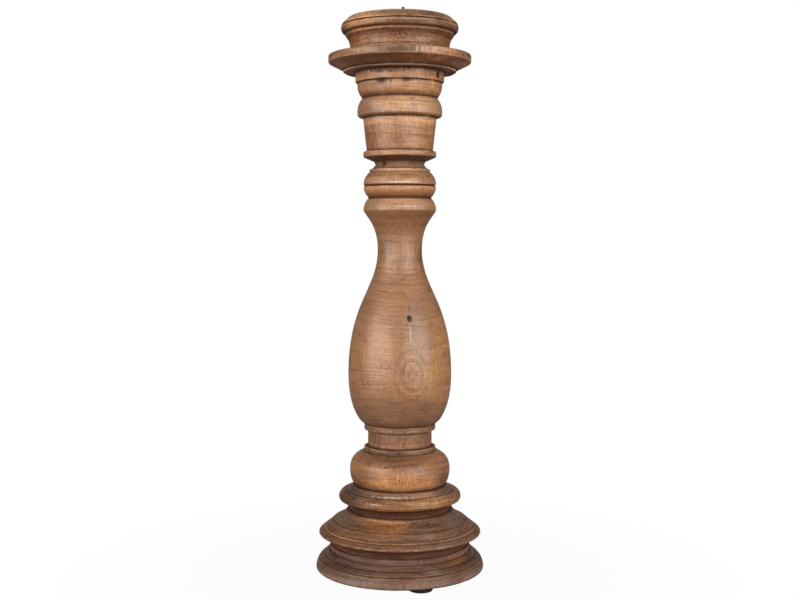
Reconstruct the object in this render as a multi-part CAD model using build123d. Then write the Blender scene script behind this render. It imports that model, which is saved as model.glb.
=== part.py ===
import os
from math import cos, radians, sin

from build123d import *

# Pricket candle stand: turned wooden sections, glued on hidden dowels and stacked on three rubber feet,
# with an iron spike in the cup at the top. Millimetres, +Z up. The origin is on the axis of the turning,
# at the level of the surface that the feet rest on. The front faces -Y.

# Every section is listed from its lower edge upwards: each moulding has the radius it reaches, how far it
# rises and, where it is round, how far its arc bulges out of or sinks under its chord.

# Height from the surface under the feet to the tip of the spike
stand_height = 600.0

# Rubber feet
foot_count = 3
foot_first_heading = -71.7
foot_diameter = 25.0
foot_height = 6.5
foot_edge_round = 2.0
foot_inset = 7.6
foot_recess_clearance = 1.25
foot_web = 2.6
foot_screw_diameter = 4.0
foot_screw_length = 18.0
foot_screw_head_diameter = 8.0
foot_screw_head_height = 2.4
foot_screw_slot_width = 1.0
foot_screw_slot_depth = 1.0

# Plinth
plinth_radius = 89.4
plinth_undercut = 1.8
plinth_edge_rise = 3.0
plinth_edge_bulge = 0.6
plinth_face_inset = 2.8
plinth_face_rise = 8.5
plinth_face_bulge = 0.5
plinth_low_band_inset = 8.4
plinth_low_band_rise = 4.0
plinth_low_band_bulge = 0.35
plinth_high_band_inset = 13.2
plinth_high_band_rise = 4.0
plinth_high_band_bulge = 0.25
plinth_fillet_inset = 15.0
plinth_fillet_rise = 6.9

# Base step, glued of two boards
step_scotia_foot_radius = 73.0
step_radius = 84.8
step_scotia_rise = 10.0
step_scotia_depth = 3.0
step_nose_radius = 86.2
step_nose_rise = 2.2
step_nose_bulge = 0.5
step_bead_radius = 82.1
step_bead_rise = 3.4
step_bead_bulge = 0.35
step_fillet_radius = 79.6
step_fillet_rise = 1.4
step_band_radius = 72.8
step_band_rise = 4.7
step_band_depth = 0.25
step_arris_radius = 71.8
step_arris_rise = 0.9
step_cone_radius = 57.0
step_cone_rise = 9.1
step_cone_depth = 1.0
step_top_radius = 56.5
step_top_rise = 1.3
board_seam_offset = 40.0
board_seam_heading = -32.3

# Base collar
collar_scotia_foot_radius = 53.4
collar_lip_radius = 63.7
collar_scotia_rise = 10.6
collar_scotia_depth = 2.6
collar_fillet_radius = 64.9
collar_fillet_rise = 4.4
collar_fillet_bulge = 0.45
collar_bead_radius = 59.4
collar_bead_rise = 5.7
collar_bead_bulge = 0.95
collar_cavetto_radius = 57.4
collar_top_radius = 49.4
collar_top_rise = 4.7
collar_top_depth = 0.5

# Bulb
bulb_foot_radius = 47.0
bulb_radius = 53.2
bulb_low_rise = 16.2
bulb_foot_pull_shares = (0.91, 0.15)
bulb_low_fullness_share = 0.1
bulb_top_radius = 40.6
bulb_high_rise = 19.4
bulb_high_fullness_share = 0.70
bulb_top_pull_shares = (0.36, 0.14)
bulb_ring_radius = 38.0
bulb_ring_rise = 3.8
bulb_ring_top_radius = 35.6
bulb_ring_top_rise = 1.2
bulb_ring_bulge = 0.25

# Vase
vase_stem_radius = 33.9
vase_stem_rise = 17.0
vase_collar_foot_radius = 36.9
vase_collar_radius = 37.8
vase_collar_edge_rise = 1.1
vase_collar_edge_bulge = 0.25
vase_collar_rise = 5.0
vase_foot_radius = 38.2
vase_belly_radius = 54.7
vase_low_share = 0.225
vase_foot_pull_shares = (0.41, 0.06)
vase_low_fullness_share = 0.57
vase_waist_radius = 23.4
vase_belly_fullness_share = 0.595
vase_waist_low_share = 0.32
vase_arris_radius = 38.5
vase_flare_share = 0.184
vase_waist_high_share = 0.634
vase_flare_pull_shares = (0.172, 0.170)
vase_bead_radius = 33.2
vase_bead_rise = 12.4
vase_bead_bulge = 1.2
vase_notch_rise = 0.9
vase_head_radius = 38.15
vase_head_rise = 9.9
vase_head_bulge = 0.95
vase_top_radius = 37.0
vase_top_rise = 2.3
vase_top_bulge = 0.3

# Neck
neck_foot_radius = 37.0
neck_radius = 38.3
neck_edge_rise = 2.2
neck_edge_bulge = 0.3
neck_ovolo_radius = 32.2
neck_ovolo_rise = 11.6
neck_ovolo_bulge = 1.4
neck_fillet_radius = 32.0
neck_fillet_rise = 3.2
neck_scotia_lip_radius = 31.3
neck_scotia_radius = 25.7
neck_scotia_low_rise = 5.2
neck_scotia_low_depth = 0.9
neck_underside_radius = 29.8
neck_scotia_high_rise = 4.0
neck_scotia_high_depth = 0.9
neck_ring_foot_radius = 37.7
neck_underside_rise = 3.4
neck_ring_radius = 38.45
neck_ring_edge_rise = 1.4
neck_ring_edge_bulge = 0.25
neck_ring_rise = 3.6
neck_ring_top_radius = 37.0
neck_ring_top_rise = 1.3
neck_ring_top_bulge = 0.35

# Capital
capital_foot_radius = 34.8
capital_drum_radius = 38.7
capital_drum_rise = 35.0
capital_lip_radius = 43.0
capital_lip_rise = 0.6
capital_bead_radius = 44.5
capital_bead_edge_rise = 3.4
capital_bead_edge_bulge = 0.5
capital_bead_top_radius = 39.6
capital_bead_rise = 15.8
capital_bead_bulge = 1.75
capital_notch_rise = 0.8
capital_ovolo_radius = 44.4
capital_ovolo_rise = 10.6
capital_ovolo_bulge = 0.85
capital_shoulder_rise = 4.8
capital_band_lip_radius = 46.4
capital_band_lip_rise = 0.6
capital_band_radius = 46.9
capital_band_rise = 10.4

# Drip plate
plate_foot_radius = 58.8
plate_ring_radius = 59.3
plate_ring_edge_rise = 0.8
plate_ring_edge_bulge = 0.15
plate_ring_rise = 2.9
plate_underside_foot_radius = 60.0
plate_underside_radius = 74.0
plate_underside_rise = 5.9
plate_radius = 74.85
plate_edge_rise = 1.2
plate_edge_bulge = 0.2
plate_band_rise = 5.4
plate_top_radius = 73.4
plate_top_rise = 1.7
plate_top_bulge = 0.4

# Candle cup
cup_foot_radius = 53.4
cup_foot_rise = 5.4
cup_cove_foot_radius = 52.2
cup_cove_radius = 56.7
cup_cove_rise = 14.4
cup_cove_depth = 1.6
cup_fillet_radius = 57.1
cup_fillet_rise = 2.6
cup_bead_foot_radius = 58.4
cup_bead_radius = 61.4
cup_bead_low_rise = 4.8
cup_bead_low_bulge = 0.6
cup_bead_top_radius = 60.9
cup_bead_high_rise = 2.8
cup_bead_high_bulge = 0.25
cup_rim_shoulder_radius = 60.5
cup_rim_radius = 53.3
cup_rim_rise = 7.4
cup_rim_bulge = 0.55
cup_rim_width = 6.3
cup_recess_depth = 15.0
cup_recess_corner_round = 3.0
cup_lip_round = 1.0

# Lines cut with the point of the tool: quirks between two mouldings, and finer lines on a face
quirk_width = 0.9
quirk_depth = 0.8
scribe_width = 0.5
scribe_depth = 0.35

# Iron spike, driven in until its conical shoulder is level with the floor of the cup
spike_offset = 3.5
spike_diameter = 6.0
spike_straight_length = 8.0
spike_reach = 27.5
spike_tip_diameter = 2.6
spike_tip_round = 0.8
spike_shank_diameter = 5.0
spike_end_wall = 4.2

# Dowels of the glued joints
base_dowel_diameter = 25.0
base_dowel_plinth_depth = 18.0
base_dowel_bulb_depth = 15.0
vase_dowel_diameter = 20.0
vase_dowel_bulb_depth = 15.0
vase_dowel_depth = 30.0
neck_dowel_diameter = 18.0
neck_dowel_vase_depth = 30.0
neck_dowel_depth = 13.0
capital_dowel_diameter = 18.0
capital_dowel_neck_depth = 13.0
capital_dowel_depth = 30.0
cup_dowel_diameter = 20.0
cup_dowel_capital_depth = 30.0
cup_dowel_depth = 6.0
dowel_chamfer = 1.0

# Clearance round what is glued, driven or screwed into a hole, and the space left at the hole's end
fit_clearance = 0.1
hole_end_space = 0.5


class Outline:
    """Half outline of a turned section, followed upwards from its lower edge."""

    def __init__(self, radius, z):
        self.start = (radius, z)
        self.end = self.start
        self.edges = []

    def reach(self, radius, rise):
        """Next point of the outline, at a radius and a rise over the last one."""
        return radius, self.end[1] + rise

    def add(self, edge, point):
        self.edges.append(edge)
        self.end = point

    def line(self, radius, rise):
        """Straight run: a fillet, a taper or, with no rise, a ledge."""
        point = self.reach(radius, rise)
        self.add(Line(self.end, point), point)

    def bead(self, radius, rise, bulge):
        """Arc that bulges outwards from its chord."""
        point = self.reach(radius, rise)
        self.add(SagittaArc(self.end, point, -bulge), point)

    def cove(self, radius, rise, depth):
        """Arc that sinks inwards under its chord."""
        point = self.reach(radius, rise)
        self.add(SagittaArc(self.end, point, depth), point)

    def cut(self, radius, width, depth):
        """V-cut that ends at the given radius."""
        self.line(min(self.end[0], radius) - depth, width / 2)
        self.line(radius, width / 2)

    def quirk(self, radius):
        self.cut(radius, quirk_width, quirk_depth)

    def scribe(self, radius):
        self.cut(radius, scribe_width, scribe_depth)

    def round_up(self, size):
        """Quarter round from a level face out to an upright one."""
        point = self.reach(self.end[0] + size, size)
        self.add(CenterArc((self.end[0], point[1]), size, -90, 90), point)

    def round_over(self, size):
        """Quarter round from an upright face in to a level one."""
        point = self.reach(self.end[0] - size, size)
        self.add(CenterArc((point[0], self.end[1]), size, 0, 90), point)

    def flare(self, size):
        """Hollow quarter round from an upright face out to a level one."""
        point = self.reach(self.end[0] + size, size)
        self.add(CenterArc((point[0], self.end[1]), size, 180, -90), point)

    def sweep_upright(self, radius, rise, pull_shares, fullness_share):
        """Curve that leaves towards a pulled point and ends upright."""
        point = self.reach(radius, rise)
        pull_radius = self.end[0] + pull_shares[0] * (radius - self.end[0])
        pulled = (pull_radius, self.end[1] + pull_shares[1] * rise)
        upright = (radius, point[1] - fullness_share * rise)
        self.add(Bezier(self.end, pulled, upright, point), point)

    def sweep_from_upright(self, radius, rise, fullness_share, pull_shares):
        """Curve that starts upright and arrives from a pulled point."""
        point = self.reach(radius, rise)
        upright = (self.end[0], self.end[1] + fullness_share * rise)
        pull_radius = radius - pull_shares[0] * (radius - self.end[0])
        pulled = (pull_radius, point[1] - pull_shares[1] * rise)
        self.add(Bezier(self.end, upright, pulled, point), point)

    def turn(self):
        """Solid of the outline, spun about the axis of the stand."""
        low = (0, self.start[1])
        high = (0, self.end[1])
        closing = [Line(self.end, high), Line(high, low), Line(low, self.start)]
        return revolve(Plane.XZ * make_face(self.edges + closing), Axis.Z)


def round_bar(diameter, low, high):
    """Plain round bar on the axis between two heights."""
    return Pos(0, 0, low) * Cylinder(diameter / 2, high - low, align=(Align.CENTER, Align.CENTER, Align.MIN))


def dowel(diameter, low, high):
    """Glued dowel with chamfered ends."""
    bar = round_bar(diameter, low, high)
    return chamfer(bar.edges().filter_by(GeomType.CIRCLE), dowel_chamfer)


def dowel_bore(diameter, low, high):
    """Hole that takes a dowel, with room for glue around it and at its ends."""
    return round_bar(diameter + 2 * fit_clearance, low - hole_end_space, high + hole_end_space)


def turned_plinth(z):
    face_radius = plinth_radius - plinth_face_inset
    low_band_radius = plinth_radius - plinth_low_band_inset
    high_band_radius = plinth_radius - plinth_high_band_inset
    fillet_radius = plinth_radius - plinth_fillet_inset
    section = Outline(plinth_radius - plinth_undercut, z)
    section.bead(plinth_radius, plinth_edge_rise, plinth_edge_bulge)
    section.bead(face_radius, plinth_face_rise, plinth_face_bulge)
    section.quirk(face_radius - quirk_width)
    section.bead(low_band_radius, plinth_low_band_rise, plinth_low_band_bulge)
    section.scribe(low_band_radius - scribe_width)
    section.bead(high_band_radius, plinth_high_band_rise, plinth_high_band_bulge)
    section.line(fillet_radius, 0)
    section.line(fillet_radius, plinth_fillet_rise)
    return section


def turned_step(z):
    section = Outline(step_scotia_foot_radius, z)
    section.cove(step_radius, step_scotia_rise, step_scotia_depth)
    section.bead(step_nose_radius, step_nose_rise, step_nose_bulge)
    section.bead(step_bead_radius, step_bead_rise, step_bead_bulge)
    section.quirk(step_bead_radius - quirk_width)
    section.line(step_fillet_radius, step_fillet_rise)
    section.quirk(step_fillet_radius - quirk_width)
    section.cove(step_band_radius, step_band_rise, step_band_depth)
    section.line(step_arris_radius, step_arris_rise)
    section.quirk(step_arris_radius - quirk_width)
    section.cove(step_cone_radius, step_cone_rise, step_cone_depth)
    section.line(step_top_radius, step_top_rise)
    return section


def turned_collar(z):
    section = Outline(collar_scotia_foot_radius, z)
    section.cove(collar_lip_radius, collar_scotia_rise, collar_scotia_depth)
    section.bead(collar_fillet_radius, collar_fillet_rise, collar_fillet_bulge)
    section.scribe(collar_fillet_radius)
    section.bead(collar_bead_radius, collar_bead_rise, collar_bead_bulge)
    section.quirk(collar_cavetto_radius)
    section.cove(collar_top_radius, collar_top_rise, collar_top_depth)
    return section


def turned_bulb(z):
    section = Outline(bulb_foot_radius, z)
    section.sweep_upright(bulb_radius, bulb_low_rise, bulb_foot_pull_shares, bulb_low_fullness_share)
    section.sweep_from_upright(bulb_top_radius, bulb_high_rise, bulb_high_fullness_share,
                               bulb_top_pull_shares)
    section.quirk(bulb_ring_radius)
    section.line(bulb_ring_radius, bulb_ring_rise)
    section.bead(bulb_ring_top_radius, bulb_ring_top_rise, bulb_ring_bulge)
    return section


def turned_vase(z, height):
    """The curves from the foot of the belly to the arris take up the height that the mouldings leave."""
    section = Outline(vase_stem_radius, z)
    section.line(vase_stem_radius, vase_stem_rise)
    section.line(vase_collar_foot_radius, 0)
    section.bead(vase_collar_radius, vase_collar_edge_rise, vase_collar_edge_bulge)
    section.line(vase_collar_radius, vase_collar_rise)
    section.quirk(vase_foot_radius)
    head_rise = vase_bead_rise + vase_notch_rise + vase_head_rise + vase_top_rise
    curved_rise = z + height - section.end[1] - head_rise
    low_rise = vase_low_share * curved_rise
    flare_rise = vase_flare_share * curved_rise
    taper_rise = curved_rise - low_rise - flare_rise
    section.sweep_upright(vase_belly_radius, low_rise, vase_foot_pull_shares, vase_low_fullness_share)
    section.sweep_from_upright(vase_waist_radius, taper_rise, vase_belly_fullness_share,
                               (0, vase_waist_low_share))
    section.sweep_from_upright(vase_arris_radius, flare_rise, vase_waist_high_share, vase_flare_pull_shares)
    section.bead(vase_bead_radius, vase_bead_rise, vase_bead_bulge)
    section.line(vase_bead_radius, vase_notch_rise)
    section.bead(vase_head_radius, vase_head_rise, vase_head_bulge)
    section.bead(vase_top_radius, vase_top_rise, vase_top_bulge)
    return section


def turned_neck(z):
    section = Outline(neck_foot_radius, z)
    section.bead(neck_radius, neck_edge_rise, neck_edge_bulge)
    section.bead(neck_ovolo_radius, neck_ovolo_rise, neck_ovolo_bulge)
    section.line(neck_fillet_radius, 0)
    section.line(neck_fillet_radius, neck_fillet_rise)
    section.line(neck_scotia_lip_radius, 0)
    section.cove(neck_scotia_radius, neck_scotia_low_rise, neck_scotia_low_depth)
    section.cove(neck_underside_radius, neck_scotia_high_rise, neck_scotia_high_depth)
    section.line(neck_ring_foot_radius, neck_underside_rise)
    section.bead(neck_ring_radius, neck_ring_edge_rise, neck_ring_edge_bulge)
    section.line(neck_ring_radius, neck_ring_rise)
    section.bead(neck_ring_top_radius, neck_ring_top_rise, neck_ring_top_bulge)
    return section


def turned_capital(z):
    section = Outline(capital_foot_radius, z)
    section.line(capital_drum_radius, capital_drum_rise)
    section.line(capital_lip_radius, capital_lip_rise)
    section.bead(capital_bead_radius, capital_bead_edge_rise, capital_bead_edge_bulge)
    section.bead(capital_bead_top_radius, capital_bead_rise, capital_bead_bulge)
    section.line(capital_bead_top_radius, capital_notch_rise)
    section.bead(capital_ovolo_radius, capital_ovolo_rise, capital_ovolo_bulge)
    section.line(capital_ovolo_radius, capital_shoulder_rise)
    section.line(capital_band_lip_radius, capital_band_lip_rise)
    section.line(capital_band_radius, capital_band_rise)
    return section


def turned_plate(z):
    section = Outline(plate_foot_radius, z)
    section.bead(plate_ring_radius, plate_ring_edge_rise, plate_ring_edge_bulge)
    section.line(plate_ring_radius, plate_ring_rise)
    section.line(plate_underside_foot_radius, 0)
    section.line(plate_underside_radius, plate_underside_rise)
    section.bead(plate_radius, plate_edge_rise, plate_edge_bulge)
    section.line(plate_radius, plate_band_rise)
    section.bead(plate_top_radius, plate_top_rise, plate_top_bulge)
    return section


def turned_cup(z):
    section = Outline(cup_foot_radius, z)
    section.line(cup_foot_radius, cup_foot_rise)
    section.line(cup_cove_foot_radius, 0)
    section.cove(cup_cove_radius, cup_cove_rise, cup_cove_depth)
    section.line(cup_fillet_radius, cup_fillet_rise)
    section.line(cup_bead_foot_radius, 0)
    section.bead(cup_bead_radius, cup_bead_low_rise, cup_bead_low_bulge)
    section.bead(cup_bead_top_radius, cup_bead_high_rise, cup_bead_high_bulge)
    section.quirk(cup_rim_shoulder_radius)
    section.bead(cup_rim_radius, cup_rim_rise, cup_rim_bulge)
    return section


def candle_recess(rim_z):
    """Hollow of the cup, with a rounded corner at its floor and an eased lip."""
    radius = cup_rim_radius - cup_rim_width - cup_lip_round
    hollow = Outline(radius - cup_recess_corner_round, rim_z - cup_recess_depth)
    hollow.round_up(cup_recess_corner_round)
    hollow.line(radius, cup_recess_depth - cup_recess_corner_round - cup_lip_round)
    hollow.flare(cup_lip_round)
    return hollow.turn()


def spike_shank(clearance, low_z, floor_z):
    """Driven part of the spike, with a conical shoulder that ends level with the floor of the cup."""
    shank_radius = spike_shank_diameter / 2 + clearance
    shoulder_rise = (spike_diameter - spike_shank_diameter) / 2
    shank = Outline(shank_radius, low_z)
    shank.line(shank_radius, floor_z - shoulder_rise - low_z)
    shank.line(spike_diameter / 2 + clearance, shoulder_rise)
    return shank


def spike(shank_z, floor_z):
    """Iron spike: shank in the cup, straight stretch over the floor, then a long taper to a blunt tip."""
    body = spike_shank(0, shank_z, floor_z)
    body.line(spike_diameter / 2, spike_straight_length)
    body.line(spike_tip_diameter / 2, spike_reach - spike_straight_length - spike_tip_round)
    body.round_over(spike_tip_round)
    return Pos(spike_offset, 0, 0) * body.turn()


def foot_places():
    """Centres of the feet, evenly round a circle inside the plinth's lower edge."""
    circle_radius = plinth_radius - plinth_undercut - foot_inset - foot_diameter / 2
    for index in range(foot_count):
        heading = radians(foot_first_heading + index * 360 / foot_count)
        yield Pos(circle_radius * cos(heading), circle_radius * sin(heading), 0)


def rubber_foot():
    """Round foot with a recess under its web for the head of the screw."""
    body = Outline(foot_diameter / 2 - foot_edge_round, 0)
    body.round_up(foot_edge_round)
    body.line(foot_diameter / 2, foot_height - foot_edge_round)
    recess = round_bar(foot_screw_head_diameter + 2 * foot_recess_clearance, 0, foot_height - foot_web)
    return body.turn() - recess - screw_hole()


def foot_screw():
    """Slotted pan-head screw, up through the web of a foot into the plinth."""
    seat = foot_height - foot_web
    face = seat - foot_screw_head_height
    head = round_bar(foot_screw_head_diameter, face, seat)
    shank = round_bar(foot_screw_diameter, seat, seat + foot_screw_length)
    slot = Box(foot_screw_head_diameter, foot_screw_slot_width, 2 * foot_screw_slot_depth)
    return head + shank - Pos(0, 0, face) * slot


def screw_hole():
    """Hole of a foot screw, through the web of the foot and up into the plinth."""
    top = foot_height - foot_web + foot_screw_length + hole_end_space
    return round_bar(foot_screw_diameter + 2 * fit_clearance, 0, top)


# Each section stands on the one under it, and the vase fills the height between the bulb and the neck
plinth_outline = turned_plinth(foot_height)
step_outline = turned_step(plinth_outline.end[1])
collar_outline = turned_collar(step_outline.end[1])
bulb_outline = turned_bulb(collar_outline.end[1])
upper_height = turned_cup(turned_plate(turned_capital(turned_neck(0).end[1]).end[1]).end[1]).end[1]
rim_z = stand_height - (spike_reach - cup_recess_depth)
vase_outline = turned_vase(bulb_outline.end[1], rim_z - upper_height - bulb_outline.end[1])
neck_outline = turned_neck(vase_outline.end[1])
capital_outline = turned_capital(neck_outline.end[1])
plate_outline = turned_plate(capital_outline.end[1])
cup_outline = turned_cup(plate_outline.end[1])
cup_floor_z = rim_z - cup_recess_depth

# Each dowel: diameter, lower end and upper end
base_joint = (base_dowel_diameter, step_outline.start[1] - base_dowel_plinth_depth,
              bulb_outline.start[1] + base_dowel_bulb_depth)
vase_joint = (vase_dowel_diameter, vase_outline.start[1] - vase_dowel_bulb_depth,
              vase_outline.start[1] + vase_dowel_depth)
neck_joint = (neck_dowel_diameter, neck_outline.start[1] - neck_dowel_vase_depth,
              neck_outline.start[1] + neck_dowel_depth)
capital_joint = (capital_dowel_diameter, capital_outline.start[1] - capital_dowel_neck_depth,
                 capital_outline.start[1] + capital_dowel_depth)
cup_joint = (cup_dowel_diameter, plate_outline.start[1] - cup_dowel_capital_depth,
             cup_outline.start[1] + cup_dowel_depth)

# The spike's shank ends in the solid wood between the floor of the cup and the dowel under it
shank_z = cup_outline.start[1] + cup_dowel_depth + hole_end_space + spike_end_wall
socket_outline = spike_shank(fit_clearance, shank_z - hole_end_space, cup_floor_z)
spike_socket = Pos(spike_offset, 0, 0) * socket_outline.turn()

screw_holes = [place * screw_hole() for place in foot_places()]

# The base step is turned after its two boards are glued, so the seam cuts the turned form
step = step_outline.turn() - dowel_bore(*base_joint)
seam_normal = Vector(cos(radians(board_seam_heading)), sin(radians(board_seam_heading)), 0)
seam = Plane(origin=seam_normal * board_seam_offset, z_dir=seam_normal)

parts = {
    "plinth": plinth_outline.turn() - dowel_bore(*base_joint) - screw_holes,
    "base_board_wide": split(step, bisect_by=seam, keep=Keep.BOTTOM),
    "base_board_narrow": split(step, bisect_by=seam, keep=Keep.TOP),
    "base_collar": collar_outline.turn() - dowel_bore(*base_joint),
    "bulb": bulb_outline.turn() - dowel_bore(*base_joint) - dowel_bore(*vase_joint),
    "vase": vase_outline.turn() - dowel_bore(*vase_joint) - dowel_bore(*neck_joint),
    "neck": neck_outline.turn() - dowel_bore(*neck_joint) - dowel_bore(*capital_joint),
    "capital": capital_outline.turn() - dowel_bore(*capital_joint) - dowel_bore(*cup_joint),
    "drip_plate": plate_outline.turn() - dowel_bore(*cup_joint),
    "candle_cup": cup_outline.turn() - candle_recess(rim_z) - dowel_bore(*cup_joint) - spike_socket,
    "pricket_spike": spike(shank_z, cup_floor_z),
    "foot_screws": Compound(children=[place * foot_screw() for place in foot_places()]),
    "base_dowel": dowel(*base_joint),
    "vase_dowel": dowel(*vase_joint),
    "neck_dowel": dowel(*neck_joint),
    "capital_dowel": dowel(*capital_joint),
    "cup_dowel": dowel(*cup_joint),
}
for number, place in enumerate(foot_places(), start=1):
    parts[f"foot_{number}"] = place * rubber_foot()

os.makedirs("parts", exist_ok=True)
for name, shape in parts.items():
    export_step(shape, f"parts/{name}.step")

print(f"rim at {rim_z:.2f}, cup floor at {cup_floor_z:.2f}, spike tip at {stand_height:.2f}")
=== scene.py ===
from math import atan2, ceil, cos, degrees, hypot, pi, radians, sin

import bmesh
import bpy
import numpy as np
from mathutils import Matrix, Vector, noise


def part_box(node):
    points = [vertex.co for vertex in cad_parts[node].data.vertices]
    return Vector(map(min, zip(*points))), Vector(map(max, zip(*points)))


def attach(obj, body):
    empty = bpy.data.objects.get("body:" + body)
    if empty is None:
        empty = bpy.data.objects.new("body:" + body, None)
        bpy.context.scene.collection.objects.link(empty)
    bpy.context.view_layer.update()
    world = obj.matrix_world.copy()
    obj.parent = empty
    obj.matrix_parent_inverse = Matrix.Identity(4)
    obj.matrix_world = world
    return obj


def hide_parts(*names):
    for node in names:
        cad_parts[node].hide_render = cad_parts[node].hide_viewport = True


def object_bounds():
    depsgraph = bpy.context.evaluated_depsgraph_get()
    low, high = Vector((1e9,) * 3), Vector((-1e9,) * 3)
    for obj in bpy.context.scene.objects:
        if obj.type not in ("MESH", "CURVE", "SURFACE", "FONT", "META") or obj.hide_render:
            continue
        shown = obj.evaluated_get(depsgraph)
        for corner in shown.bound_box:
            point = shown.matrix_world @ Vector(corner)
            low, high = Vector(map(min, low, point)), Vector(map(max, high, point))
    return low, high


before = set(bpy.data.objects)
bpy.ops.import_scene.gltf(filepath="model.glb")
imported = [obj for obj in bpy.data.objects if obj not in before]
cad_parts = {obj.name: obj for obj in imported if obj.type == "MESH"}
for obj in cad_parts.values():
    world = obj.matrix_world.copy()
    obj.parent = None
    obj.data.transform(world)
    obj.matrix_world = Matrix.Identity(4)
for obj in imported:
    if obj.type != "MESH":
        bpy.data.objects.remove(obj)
cad_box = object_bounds()


# Rubber feet
# Three black pads of moulded rubber that lift the stand off the table. Each has a rounded lower edge, and a
# recess under its web for the head of the screw that holds it to the plinth.

def lengths_along(points):
    """Length from the start of a run of points to each of them."""
    return np.append(0, np.cumsum(np.linalg.norm(np.diff(points, axis=0), axis=1)))


class Outline:
    """Half outline of a turned or moulded piece, in metres, anticlockwise from its lower inner end."""

    def __init__(self, radius, z, step):
        self.moves = []
        self.end = Vector((radius, z))
        self.step = step

    def add(self, end, at):
        """Adds a move that ends at a point; `at` gives the point at a share of its way."""
        count = max(2, ceil((end - self.end).length / self.step))
        self.moves.append(np.array([at(index / count) for index in range(count + 1)]))
        self.end = end

    def go(self, radius, z):
        """Straight run to a radius and a height."""
        start, end = self.end, Vector((radius, z))
        self.add(end, lambda share: start.lerp(end, share))

    def line(self, radius, rise=0.0):
        """Straight run to a radius: a fillet, a taper or, with no rise, a ledge."""
        self.go(radius, self.end.y + rise)

    def arc(self, radius, rise, bulge):
        """Round run that bulges out of its chord, or sinks under it where the bulge is negative."""
        start, end = self.end, Vector((radius, self.end.y + rise))
        outwards = Vector((end.y - start.y, start.x - end.x)).normalized()
        self.add(end, lambda share: start.lerp(end, share) + outwards * (4 * bulge * share * (1 - share)))

    def sweep(self, radius, rise, leave_shares, arrive_shares):
        """Long curve that leaves and arrives along the given shares of its own width and rise."""
        start, end = self.end, Vector((radius, self.end.y + rise))
        way = end - start
        first = start + way * Vector(leave_shares)
        last = end - way * Vector(arrive_shares)
        self.add(end, lambda share: (start * (1 - share) ** 3 + first * (3 * share * (1 - share) ** 2)
                                     + last * (3 * share ** 2 * (1 - share)) + end * share ** 3))

    def cut(self, radius, width, depth):
        """Line cut with the point of a tool, ending at a radius."""
        self.line(min(self.end.x, radius) - depth, width / 2)
        self.line(radius, width / 2)

    def eased(self, ease):
        """Points of the outline, with every corner eased by a small round."""
        least_turn, most_share = radians(6), 0.4
        margin = self.step / 8
        lengths = [lengths_along(move)[-1] for move in self.moves]
        cuts = [0.0]
        for before, after, low, high in zip(self.moves, self.moves[1:], lengths, lengths[1:]):
            turn = Vector(before[-1] - before[-2]).angle(Vector(after[1] - after[0]))
            cuts.append(min(ease, most_share * low, most_share * high) if turn > least_turn else 0.0)
        cuts.append(0.0)
        points = []
        for index, move in enumerate(self.moves):
            along = lengths_along(move)
            first, last = cuts[index], along[-1] - cuts[index + 1]
            kept = along[(along > first + margin) & (along < last - margin)]
            places = np.concatenate([[first], kept, [last]])
            run = np.stack([np.interp(places, along, move[:, axis]) for axis in (0, 1)], axis=1)
            if cuts[index]:
                corner, before, after = Vector(move[0]), Vector(points[-1]), Vector(run[0])
                points += [before.lerp(corner, share).lerp(corner.lerp(after, share), share)
                           for share in (0.25, 0.5, 0.75)]
            points += list(run if cuts[index] or not points else run[1:])
        return np.array(points)


def put_in_scene(name, data):
    """Object made of a mesh, a lamp or a camera."""
    thing = bpy.data.objects.new(name, data)
    bpy.context.scene.collection.objects.link(thing)
    return thing


sharp_turn = radians(40)
weld_reach = 1e-7


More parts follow.
